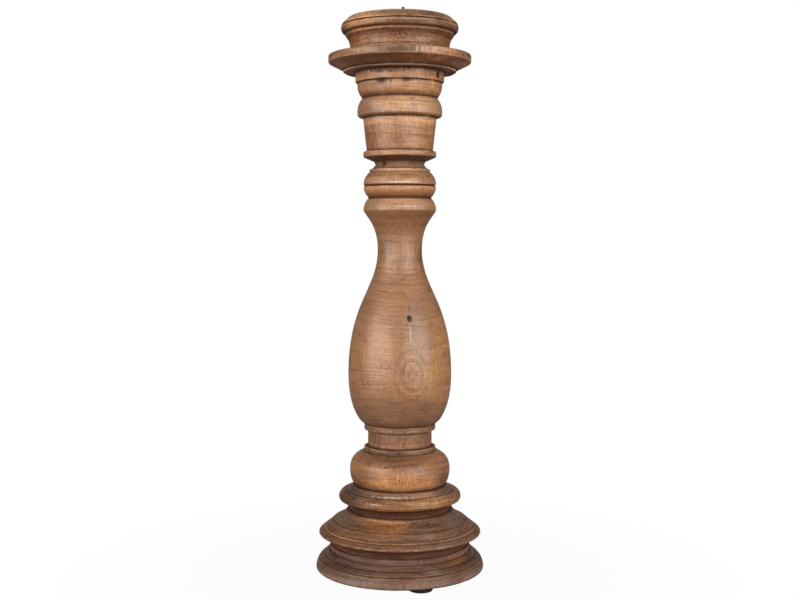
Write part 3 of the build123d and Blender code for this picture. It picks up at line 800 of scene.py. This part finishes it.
vase = Turning("vase", 0.0339, (vase_bore, vase_bore_depth), (neck_bore, vase_bore_depth))
vase.line(0.0339, 0.0170)
vase.line(0.0369)
vase.arc(0.0378, 0.0011, 0.00025)
vase.line(0.0378, 0.0050)
vase.quirk(0.0382)
vase.sweep(0.0547, vase_low_rise, (0.41, 0.06), (0.0, 0.57))
vase.sweep(0.0234, vase_taper_rise, (0.0, 0.595), (0.0, 0.32))
vase.sweep(0.0385, vase_flare_rise, (0.0, 0.634), (0.172, 0.170))
vase.arc(0.0332, 0.0124, 0.0012)
vase.line(0.0332, 0.0009)
vase.arc(0.03815, 0.0099, 0.00095)
vase.arc(0.0370, 0.0023, 0.0003)
vase_piece = vase.spun("turned_vase", vase_segments)


def show_eye(wood):
    """Growth rings cut through where they lie along the surface: tall ovals of late and early wood."""
    local = wood.about(eye_heading, eye_height, eye_radius)
    aside, inward, upright = (wood.add("SeparateXYZ", {0: local}, axis) for axis in ("X", "Y", "Z"))
    away = wood.add("CombineXYZ", {"X": aside, "Z": wood.math("DIVIDE", upright, eye_tall)})
    away = wood.add("VectorMath", {0: away}, "Value", operation="LENGTH")
    drift = wood.times(wood.grain((48, 48, 48), detail=3.0), eye_drift)
    away = wood.math("DIVIDE", wood.plus(away, drift), eye_reach)
    wave = wood.math("SINE", wood.times(away, 2 * pi * eye_rings))
    patchy = wood.between(wood.grain((150, 150, 260)), 0.35, 0.6, 0.3, 1.0)
    ringed = wood.times(wood.between(away, 1.5, 0.75, 0.0, eye_share), patchy)
    ringed = wood.times(ringed, wood.between(inward, 0.6 * eye_radius, 0.3 * eye_radius))
    wood.tint(wood.times(wood.between(wave, -0.2, 1.0), ringed), late_wood)
    wood.tint(wood.times(wood.between(wave, 0.0, -1.0), ringed), early_wood)


def press(piece, heading, height, radius, width, tall, depth):
    """Sinks a small hollow into the surface at a heading right of the front, as a knot or a check does."""
    nearness = 0.008
    turn = radians(heading)
    outward, aside = Vector((sin(turn), -cos(turn), 0.0)), Vector((cos(turn), sin(turn), 0.0))
    centre = outward * radius + Vector((0.0, 0.0, height))
    for vertex in piece.data.vertices:
        gap = vertex.co - centre
        away = (gap.dot(aside) / (width / 2)) ** 2 + (gap.z / (tall / 2)) ** 2
        if away < 1 and gap.dot(outward) > -nearness:
            vertex.co -= outward * (depth * (1 - away))


vase_wood = Wood("vase_wood", pale=(172, 123, 84), mid=(155, 109, 76), dark=(115, 75, 49), seed=6,
                 figure=0.9, fleck=0.8, blotches=0.35, grime=0.8, gloss=0.5)
show_eye(vase_wood)
each(vase_wood.wash,
     # Paler right side: golden tone with painted light from the right.
     (52.0, 0.2320, 0.0540, 0.090, 0.130, (1.25, 1.28, 1.10)),
     # Left of the belly: a painted sheen.
     (-25.0, 0.2350, 0.0540, 0.060, 0.100, (1.12, 1.12, 1.16)),
     # Darker lower front of the belly: painted shade.
     (0.0, 0.1840, 0.0500, 0.160, 0.034, (0.86, 0.86, 0.90)),
     # Paler front of the beads: painted light.
     (0.0, 0.3980, 0.0370, 0.120, 0.020, (1.22, 1.22, 1.20)),
     # Darker patch under the right highlight: painted shade that dims the sheen.
     (27.0, 0.2580, 0.0480, 0.044, 0.090, (0.86, 0.88, 0.90)))
each(vase_wood.band,
     # Painted shade on the cylinder, its collar, the belly, the waist and the flare.
     (0.1383, 0.1553, (0.99, 0.96, 0.94)),
     (0.1553, 0.1614, (0.69, 0.65, 0.63)),
     (0.1614, 0.1900, (0.95, 0.97, 1.02), 0.012),
     (0.1614, 0.2450, (0.92, 0.91, 0.92), 0.020),
     (0.2650, 0.3250, (0.92, 0.94, 0.98), 0.015),
     (0.3300, 0.3640, (0.92, 0.93, 0.96), 0.010),
     (0.3680, 0.3879, (0.97, 0.91, 0.80), 0.004),
     # A painted highlight on the lower bead and painted light on the half bead.
     (0.3879, 0.4003, (1.06, 1.20, 1.38)),
     (0.4012, 0.4134, (1.27, 1.24, 1.10)),
     # A painted shadow line between the beads.
     (0.3990, 0.4022, (0.36, 0.27, 0.20)),
     (0.4122, 0.4140, (0.30, 0.22, 0.16), 0.0004),
     # Painted shade under the half bead and painted light on its top.
     (0.4012, 0.4056, (0.72, 0.62, 0.52), 0.0018),
     (0.4080, 0.4124, (1.16, 1.18, 1.22), 0.0015))
each(vase_wood.weave,
     (0.1383, 0.1553, 0.55),
     (0.1553, 0.1614, 0.40),
     (0.1950, 0.2450, 0.15, 0.012),
     (0.3300, 0.3600, 0.20, 0.010),
     (0.3680, 0.3879, 0.10, 0.004),
     (0.4012, 0.4134, 0.18))
for (start_heading, start_z), (end_heading, end_z) in zip(ridge, ridge[1:]):
    ridge_run, ridge_rise = ridge_radius * radians(end_heading - start_heading), end_z - start_z
    vase_wood.stain((start_heading + end_heading) / 2, (start_z + end_z) / 2, ridge_radius,
                    ridge_overlap * hypot(ridge_run, ridge_rise), ridge_tall, ridge_brown, share=0.6,
                    ragged=0.15, lean=degrees(atan2(ridge_rise, ridge_run)))
each(vase_wood.stain,
     (knot_heading, knot_height - 0.016, 0.050, 0.003, 0.026, knot_pale, 0.6),
     (knot_heading, knot_height + 0.009, 0.044, 0.0012, 0.018, knot_check, 0.7),
     (knot_heading, knot_height, knot_radius, 0.0095, 0.0120, knot_halo, 0.6),
     (knot_heading, knot_height, knot_radius, 0.0066, 0.0082, knot_black, 0.97, 0.5, 0.45),
     (knot_heading + 1.2, knot_height - 0.0012, knot_radius, 0.0030, 0.0038, knot_core, 0.7, 0.5, 0.6))
press(vase_piece, knot_heading, knot_height, knot_radius, 0.0058, 0.0072, 0.0011)
vase_wood.wash(74.0, 0.3370, 0.0236, 0.024, 0.042, (0.54, 0.49, 0.45))
vase_wood.dull(vase_wood.between(vase_wood.spread(74.0, 0.3370, 0.0236, 0.022, 0.036), 1.0, 0.3), 0.5)
each(vase_wood.stain,
     # Pale flecks on the lower bead: a painted highlight.
     (9.0, 0.3909, 0.0378, 0.046, 0.0034, (232, 196, 162), 0.4, 1.1),
     (66.0, 0.2460, 0.0520, 0.022, 0.0030, (204, 158, 106), 0.5),
     (58.0, 0.2415, 0.0535, 0.016, 0.0026, (204, 158, 106), 0.45))
each(vase_wood.wash,
     (5.0, 0.1420, 0.0330, 0.050, 0.012, (1.16, 1.09, 0.95)),
     (-82.0, 0.2260, 0.0545, 0.024, 0.030, (0.55, 0.55, 0.60)))
vase_wood.stain(-58.4, 0.2584, 0.0505, 0.0030, 0.0050, (50, 24, 16), share=0.95, ragged=0.2)
vase_wood.lay_on(vase_piece)
add_piece(vase_piece, "vase")


# Neck
# A short spool of the same wood, glued on over the dark joint line: an ovolo, a fillet, a tight scotia and a
# ring that juts out. An old check runs down through the ring and the scotia on its left.

neck_bore_depth = 0.0135
check_heading, check_height, check_radius = -38.2, 0.4357, 0.0257
fillet_glints, first_glint, glint_spacing = 7, -22.0, 5.3

neck = Turning("neck", 0.0370, (neck_bore, neck_bore_depth), (neck_bore, neck_bore_depth))
neck.arc(0.0383, 0.0022, 0.0003)
neck.arc(0.0322, 0.0116, 0.0014)
neck.line(0.0320)
neck.line(0.0320, 0.0032)
neck.line(0.0313)
neck.arc(0.0257, 0.0052, -0.0009)
neck.arc(0.0298, 0.0040, -0.0009)
neck.line(0.0377, 0.0034)
neck.arc(0.03845, 0.0014, 0.00025)
neck.line(0.03845, 0.0036)
neck.arc(0.0370, 0.0013, 0.00035)
neck_piece = neck.spun("turned_neck")
neck_wood = Wood("neck_wood", pale=(184, 134, 91), mid=(165, 116, 82), dark=(110, 72, 46), seed=7,
                 figure=1.2, fleck=0.85, grime=0.5)
each(neck_wood.band,
     # A painted sheen on the ovolo.
     (0.4134, 0.4272, (1.00, 1.06, 1.20)),
     (0.4225, 0.4272, (0.84, 0.80, 0.76), 0.0025),
     (0.4128, 0.4144, (0.28, 0.20, 0.15), 0.0003),
     # Greyer lower part of the scotia: a painted reflection; a painted shadow under the ring.
     (0.4304, 0.4372, (0.72, 0.80, 1.03), 0.0012),
     (0.4372, 0.4436, (0.25, 0.21, 0.21), 0.0012))
neck_wood.weave(0.4134, 0.4493, 0.15)
# Pale line along the foot of the ovolo: a painted highlight.
neck_wood.stain(3.0, 0.4158, 0.0384, 0.052, 0.0026, (236, 200, 166), share=0.75, ragged=0.45)
for glint in range(fillet_glints):
    glint_width = 0.0030 + 0.0016 * sin(3.7 * glint)
    neck_wood.stain(first_glint + glint_spacing * glint, 0.4288, 0.0326, glint_width, 0.0024,
                    (232, 192, 150), share=0.5, ragged=0.25)
each(neck_wood.stain,
     (check_heading, check_height + 0.0008, check_radius, 0.0100, 0.0110, (58, 24, 19), 0.85, 0.3),
     (check_heading, check_height, check_radius, 0.0034, 0.0110, (36, 14, 12), 0.95),
     (-32.9, 0.4462, 0.0384, 0.0040, 0.0090, (96, 60, 46), 0.6))
press(neck_piece, check_heading, check_height, check_radius, 0.0024, 0.0090, 0.0010)
neck_wood.lay_on(neck_piece)
add_piece(neck_piece, "neck")


# Capital
# The palest section: a tapered drum under a heavy bead, an ovolo and a plain band, turned in one piece. Its
# upper edge is stained and speckled, and a short check opens in the band on the right.

capital_top_radius = 0.0469
capital_bore_depth = 0.0305
cup_bore = 0.0101
split_heading, split_height, band_radius = 57.0, 0.5270, 0.0467
band_specks, first_speck, speck_spacing = 10, -38.0, 5.4

capital = Turning("capital", 0.0348, (neck_bore, capital_bore_depth), (cup_bore, capital_bore_depth))
capital.line(0.0387, 0.0350)
capital.line(0.0430, 0.0006)
capital.arc(0.0445, 0.0034, 0.0005)
capital.arc(0.0396, 0.0158, 0.00175)
capital.line(0.0396, 0.0008)
capital.arc(0.0444, 0.0106, 0.00085)
capital.line(0.0444, 0.0048)
capital.line(0.0464, 0.0006)
capital.line(capital_top_radius, 0.0104)
capital_piece = capital.spun("turned_capital")
capital_wood = Wood("capital_wood", pale=(179, 129, 88), mid=(162, 113, 80), dark=(121, 80, 52), seed=8,
                    figure=1.3)
each(capital_wood.band,
     # Painted shade on the lower drum, and painted light on its top that lifts the shade under the bead.
     (0.4493, 0.4700, (0.92, 0.89, 0.87), 0.008),
     (0.4760, 0.4843, (1.65, 1.80, 1.90), 0.005),
     # A painted highlight on the bead, painted shade under it and painted shade under the ovolo.
     (0.4849, 0.5041, (1.02, 1.13, 1.34)),
     (0.4849, 0.4868, (0.62, 0.52, 0.44), 0.0012),
     (0.5040, 0.5082, (0.52, 0.43, 0.36), 0.0026))
# Darker upper left of the band: stain with painted shade under the plate.
capital_wood.wash(-14.0, 0.5305, band_radius, 0.062, 0.014, (0.74, 0.71, 0.70))
for speck in range(band_specks):
    speck_height, speck_width = 0.5288 + 0.0014 * sin(2.3 * speck), 0.0036 + 0.0014 * cos(1.3 * speck)
    capital_wood.stain(first_speck + speck_spacing * speck, speck_height, band_radius, speck_width, 0.0040,
                       (58, 35, 26), share=0.95)
# Painted light on the ovolo and on the band, which lies in the plate's shade.
each(capital_wood.band,
     (0.5049, 0.5203, (1.17, 1.22, 1.26)),
     (0.5209, 0.5313, (1.33, 1.37, 1.33)))
each(capital_wood.weave,
     (0.4493, 0.4843, 0.18),
     (0.5049, 0.5313, 0.18))
capital_wood.wash(51.0, 0.5255, band_radius, 0.026, 0.014, (1.22, 1.10, 0.84))
capital_wood.stain(split_heading, split_height, band_radius, 0.0080, 0.0116, (14, 6, 4), share=1.0,
                   ragged=0.35, soft=0.4)
press(capital_piece, split_heading, split_height, band_radius, 0.0028, 0.0070, 0.0008)
each(capital_wood.wash,
     # Painted light on the right of the ovolo and the drum.
     (44.0, 0.5120, 0.0430, 0.070, 0.030, (1.50, 1.50, 1.35)),
     (46.0, 0.4700, 0.0370, 0.050, 0.060, (1.25, 1.25, 1.15)),
     # A painted highlight on the front of the bead.
     (4.0, 0.4960, 0.0440, 0.100, 0.024, (1.40, 1.45, 1.45)))
each(capital_wood.stain,
     (-24.8, 0.5190, 0.0444, 0.0190, 0.0090, (52, 34, 26), 0.97, 0.35),
     (-12.0, 0.5172, 0.0444, 0.0040, 0.0050, (60, 44, 37), 0.9),
     (8.4, 0.5190, 0.0444, 0.0150, 0.0070, (66, 46, 36), 0.9, 0.35),
     (17.7, 0.5002, 0.0420, 0.0120, 0.0044, (122, 96, 78), 0.7),
     (-27.6, 0.5282, band_radius, 0.0180, 0.0056, (80, 60, 50), 0.7),
     # Pale, pinkish patches on the band and the ovolo: painted highlights.
     (-19.0, 0.5246, band_radius, 0.0260, 0.0060, (228, 190, 162), 0.4, 1.1),
     (-8.0, 0.5150, 0.0430, 0.0240, 0.0070, (228, 192, 164), 0.4, 1.1))
capital_wood.lay_on(capital_piece)
add_piece(capital_piece, "capital")


# Drip plate
# A wide turned disc that catches the wax, with a slanted underside, a step ring under it and an upright band
# round it. It is threaded on the cup's dowel between the capital and the cup.

plate_rim_radius = 0.07485
cup_foot_radius = 0.0534
plate_mark_radius = 0.0748

plate = Turning("drip_plate", 0.0588, through=cup_bore)
plate.arc(0.0593, 0.0008, 0.00015)
plate.line(0.0593, 0.0019)
plate.line(0.0601)
plate.line(0.0740, 0.0069)
plate.arc(plate_rim_radius, 0.0012, 0.0002)
plate.line(plate_rim_radius, 0.0054)
plate.arc(0.0734, 0.0017, 0.0004)
plate_joints = [(capital_top_radius, plate.low), (cup_foot_radius, plate.high)]
plate_piece = plate.spun("turned_drip_plate", joints=plate_joints)
plate_wood = Wood("plate_wood", pale=(158, 113, 78), mid=(137, 95, 66), dark=(89, 58, 36), seed=9,
                  figure=1.4, fleck=0.9, blotches=0.6)
each(plate_wood.band,
     # Step ring under the plate: painted shade at its foot and a painted highlight along its face.
     (0.5300, 0.5320, (0.40, 0.36, 0.38), 0.0004),
     (0.5322, 0.5340, (1.22, 1.54, 2.10), 0.0003))
each(plate_wood.wash,
     # Paler right of the band: a painted highlight.
     (36.0, 0.5460, plate_mark_radius, 0.070, 0.022, (1.70, 1.75, 1.75)),
     (-4.0, 0.5450, plate_mark_radius, 0.056, 0.018, (0.60, 0.60, 0.65)))
# Paler ends of the step ring and the underside: painted light from below.
for end_heading in (-74.0, 74.0):
    plate_wood.wash(end_heading, 0.5312, 0.0560, 0.070, 0.0032, (4.80, 5.20, 5.80))
    plate_wood.wash(end_heading, 0.5378, 0.0690, 0.060, 0.018, (2.00, 2.30, 2.90))
for gold_heading, gold_height in ((18.0, 0.5372), (25.0, 0.5384), (33.0, 0.5376), (39.0, 0.5392)):
    plate_wood.wash(gold_heading, gold_height, 0.0670, 0.012, 0.0060, (1.75, 1.75, 1.60))
for bar_heading in (-80.0, -73.0, 71.0, 79.0):
    plate_wood.stain(bar_heading, 0.5446, plate_mark_radius, 0.0090, 0.0150, (74, 42, 25), share=0.75)
plate_wood.dull(plate_wood.zone(0.5313, 0.5340, 0.0008), 0.35)
# Darker, warmer underside: painted shade.
plate_wood.band(0.5341, 0.5409, (0.86, 0.68, 0.43))
each(plate_wood.weave,
     (0.5341, 0.5475, 0.30),
     (0.5341, 0.5409, 0.40))
# Whitish strokes on the band: painted highlights.
for dash_heading in (13.0, 17.5, 21.4, 27.0):
    plate_wood.stain(dash_heading, 0.5458, plate_mark_radius, 0.0034, 0.0100, (212, 178, 152), share=0.5)
plate_wood.lay_on(plate_piece)
add_piece(plate_piece, "drip_plate")


# Candle cup
# The top section, turned with a cove under a bead and a sloped rim. It is hollowed for the foot of a pillar
# candle, glued on the topmost dowel, and its floor is bored for the spike.

cup_bore_depth = 0.0065
cup_recess_radius, cup_recess_depth = 0.0460, 0.0150
cup_corner_round, cup_lip_round = 0.0030, 0.0010

cup = Turning("candle_cup", cup_foot_radius, (cup_bore, cup_bore_depth))
cup.line(cup_foot_radius, 0.0054)
cup.line(0.0522)
cup.arc(0.0567, 0.0144, -0.0016)
cup.line(0.0571, 0.0026)
cup.line(0.0584)
cup.arc(0.0613, 0.0040, 0.0006)
cup.arc(0.0614, 0.0028, 0.0003)
cup.cut(0.0612, 0.0016, 0.0010)
cup.arc(0.0567, 0.0046, 0.0004)
cup.line(0.0557, 0.0004)
cup.arc(0.0522, 0.0030, 0.0006)
cup.line(cup_recess_radius + cup_lip_round)
cup.arc(cup_recess_radius, -cup_lip_round, cup_lip_round * quarter_bulge)
cup.line(cup_recess_radius, cup_lip_round + cup_corner_round - cup_recess_depth)
cup.arc(cup_recess_radius - cup_corner_round, -cup_corner_round, -cup_corner_round * quarter_bulge)
cup.line(0.0)
cup_piece = cup.spun("turned_candle_cup", joints=[(cup.foot_radius, cup.low)])
cup_wood = Wood("cup_wood", pale=(153, 110, 75), mid=(133, 92, 64), dark=(85, 55, 34), seed=10,
                figure=1.5, fleck=0.9, blotches=0.6, grime=0.5)
each(cup_wood.wash,
     (-48.0, 0.5770, 0.0600, 0.070, 0.060, (1.40, 1.40, 1.40)),
     (20.0, 0.5800, 0.0600, 0.130, 0.034, (0.68, 0.68, 0.70)),
     (-82.0, 0.5750, 0.0612, 0.036, 0.030, (0.64, 0.60, 0.60)),
     (82.0, 0.5750, 0.0612, 0.036, 0.030, (0.64, 0.60, 0.60)))
each(cup_wood.band,
     (0.5546, 0.5716, (1.12, 1.02, 0.90)),
     # Painted shade at the top of the cove, a painted highlight on its upper edge and painted shade under
     # the bead.
     (0.5640, 0.5692, (0.66, 0.58, 0.52), 0.002),
     (0.5691, 0.5708, (1.50, 1.55, 1.60), 0.0004),
     (0.5713, 0.5727, (0.45, 0.36, 0.30), 0.0005),
     # Painted light on the bead, with a painted highlight on its top.
     (0.5716, 0.5792, (1.15, 1.13, 1.08)),
     (0.5742, 0.5784, (1.14, 1.16, 1.20), 0.0012),
     # Painted shade in the groove under the rim.
     (0.5786, 0.5799, (0.30, 0.24, 0.20), 0.0003),
     # Painted light on the rim, whose upward faces the lamps leave dim.
     (0.5798, 0.5848, (1.98, 2.14, 2.28)),
     (0.5848, 0.5900, (2.28, 2.62, 3.02)))
cup_wood.weave(0.5546, 0.5900, 0.30)
cup_wood.lay_on(cup_piece)
add_piece(cup_piece, "candle_cup")


# Pricket spike
# A forged iron spike, blackened by heat, with a straight foot and a long taper to a blunt tip. It is driven
# into the floor of the cup a little to the right of the axis.

spike_low, spike_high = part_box("pricket_spike")
spike_middle = (spike_low + spike_high) / 2
spike_radius, spike_shank_radius, spike_tip_radius = 0.0030, 0.0025, 0.0013
spike_floor = 0.5725
spike_straight = 0.0080
spike_tip_round = 0.0008
spike_ease = 0.0002
spike_step = 0.0006
spike_segments = 64
hammer_depth = 0.00012
hammer_marks_per_metre = 260.0

spike_outline = Outline(0.0, spike_low.z, spike_step)
spike_outline.line(spike_shank_radius)
spike_outline.go(spike_shank_radius, spike_floor - (spike_radius - spike_shank_radius))
spike_outline.go(spike_radius, spike_floor)
spike_outline.line(spike_radius, spike_straight)
spike_outline.go(spike_tip_radius, spike_high.z - spike_tip_round)
spike_outline.arc(spike_tip_radius - spike_tip_round, spike_tip_round, spike_tip_round * quarter_bulge)
spike_outline.line(0.0)
spike = spin("iron_pricket_spike", spike_outline.eased(spike_ease), spike_segments, closed=False)
for vertex in spike.data.vertices:
    reach = Vector((vertex.co.x, vertex.co.y, 0.0))
    if reach.length > spike_tip_round and vertex.co.z > spike_floor:
        dent = abs(noise.noise(vertex.co * hammer_marks_per_metre))
        vertex.co -= reach.normalized() * (hammer_depth * dent)
spike.location = (spike_middle.x, spike_middle.y, 0.0)

iron = Finish("spike_iron", colour=(38, 35, 33), roughness=0.45, gloss=0.5, metal=0.9)
iron_scale = iron.grain((700, 700, 380), detail=4.0, roughness=0.6)
iron_rust = iron.grain((240, 240, 160), detail=3.0)
iron.tint(iron.between(iron_scale, 0.45, 0.7, most=0.7), (64, 60, 57))
iron.tint(iron.between(iron_rust, 0.56, 0.72, most=0.5), (84, 52, 36))
iron.dull(iron_scale, 0.35)
iron.lift(iron_scale, 0.00010)
iron.lay_on(spike)
add_piece(spike, "pricket_spike")


# Studio
# A pale paper floor under an even white background, two large soft lamps in front of the stand on its left
# and right, one behind it that leaves no glint, and the camera over its middle, looking slightly down.

white = (1.0, 1.0, 1.0, 1.0)
floor_half = 3.0
paper_grey, paper_roughness = (0.25, 0.25, 0.25, 1.0), 0.9
paper_near, paper_away, paper_near_share = 0.10, 0.45, 0.96
glow_near, glow_away = 0.5, 1.2
sheet_low, sheet_high = 0.86, 0.94
mirrored_glow = 0.07
room_light = 0.07
lamp_aim = Vector((0.0, 0.0, 0.36))
lamp_width, lamp_tall = 1.6, 0.90
lamps = (("lamp_left", -48.0, 1.5, 0.58, 22.5), ("lamp_right", 42.0, 1.5, 0.58, 24.0),
         ("lamp_back", 180.0, 1.6, 0.82, 18.0))
camera_place = (0.0002, -1.2277, 0.3627)
camera_pitch = radians(3.259)
camera_sensor, camera_lens = 36.0, 52.16

floor_mesh = bpy.data.meshes.new("studio_floor")
floor_mesh.from_pydata([(-floor_half, -floor_half, 0), (floor_half, -floor_half, 0),
                        (floor_half, floor_half, 0), (-floor_half, floor_half, 0)], [], [(0, 1, 2, 3)])
floor = put_in_scene("studio_floor", floor_mesh)


def seen_directly(tree, mirrored):
    """1 for what the camera sees, a share in reflections and through glass, 0 for light on things."""
    path = add_node(tree, "LightPath", {}).outputs
    either = combine(tree, "MAXIMUM", path["Is Glossy Ray"], path["Is Transmission Ray"])
    return combine(tree, "MAXIMUM", path["Is Camera Ray"], combine(tree, "MULTIPLY", either, mirrored))


paper = bpy.data.materials.new("studio_paper")
paper.use_nodes = True
paper_tree = paper.node_tree
paper_surface = paper_tree.nodes["Principled BSDF"]
paper_surface.inputs["Base Color"].default_value = paper_grey
paper_surface.inputs["Roughness"].default_value = paper_roughness
paper_white = add_node(paper_tree, "Emission", {})
paper_place = add_node(paper_tree, "TexCoord", {})
paper_reach = add_node(paper_tree, "VectorMath", {0: paper_place.outputs["Object"]},
                       operation="LENGTH").outputs["Value"]
paper_fade = eased_range(paper_tree, paper_reach, paper_near, paper_away, paper_near_share)
paper_glow = eased_range(paper_tree, paper_reach, glow_near, glow_away, most=mirrored_glow)
paper_share = combine(paper_tree, "MULTIPLY", seen_directly(paper_tree, paper_glow), paper_fade)
paper_mix = add_node(paper_tree, "MixShader", {0: paper_share, 1: paper_surface.outputs[0],
                                               2: paper_white.outputs[0]})
paper_tree.links.new(paper_mix.outputs[0], paper_tree.nodes["Material Output"].inputs["Surface"])
floor_mesh.materials.append(paper)

world = bpy.data.worlds.new("studio")
world.use_nodes = True
bpy.context.scene.world = world
world_tree = world.node_tree
room = world_tree.nodes["Background"]
room.inputs["Color"].default_value = white
room.inputs["Strength"].default_value = room_light
backdrop = add_node(world_tree, "Background", {"Color": white, "Strength": 1.0})
world_way = add_node(world_tree, "TexCoord", {})
world_behind = add_node(world_tree, "SeparateXYZ", {0: world_way.outputs["Generated"]})
backdrop_sheet = eased_range(world_tree, world_behind.outputs["Y"], sheet_low, sheet_high)
backdrop_glow = combine(world_tree, "MULTIPLY", backdrop_sheet, mirrored_glow)
world_mix = add_node(world_tree, "MixShader", {0: seen_directly(world_tree, backdrop_glow),
                                               1: room.outputs[0], 2: backdrop.outputs[0]})
world_tree.links.new(world_mix.outputs[0], world_tree.nodes["World Output"].inputs["Surface"])

for lamp_name, lamp_heading, lamp_distance, lamp_height, lamp_watts in lamps:
    lamp_light = bpy.data.lights.new(lamp_name, "AREA")
    lamp_light.shape = "RECTANGLE"
    lamp_light.size, lamp_light.size_y = lamp_width, lamp_tall
    lamp_light.energy = lamp_watts
    lamp = put_in_scene(lamp_name, lamp_light)
    lamp_turn = radians(lamp_heading)
    lamp.location = (lamp_distance * sin(lamp_turn), -lamp_distance * cos(lamp_turn), lamp_height)
    lamp.rotation_euler = (lamp_aim - lamp.location).to_track_quat("-Z", "Y").to_euler()
    lamp.visible_glossy = lamp_name != "lamp_back"

camera_data = bpy.data.cameras.new("photo_camera")
camera_data.sensor_width = camera_sensor
camera_data.lens = camera_lens
camera = put_in_scene("photo_camera", camera_data)
camera.location = camera_place
camera.rotation_euler = (pi / 2 - camera_pitch, 0.0, 0.0)
bpy.context.scene.camera = camera
bpy.context.scene.view_settings.view_transform = "Standard"
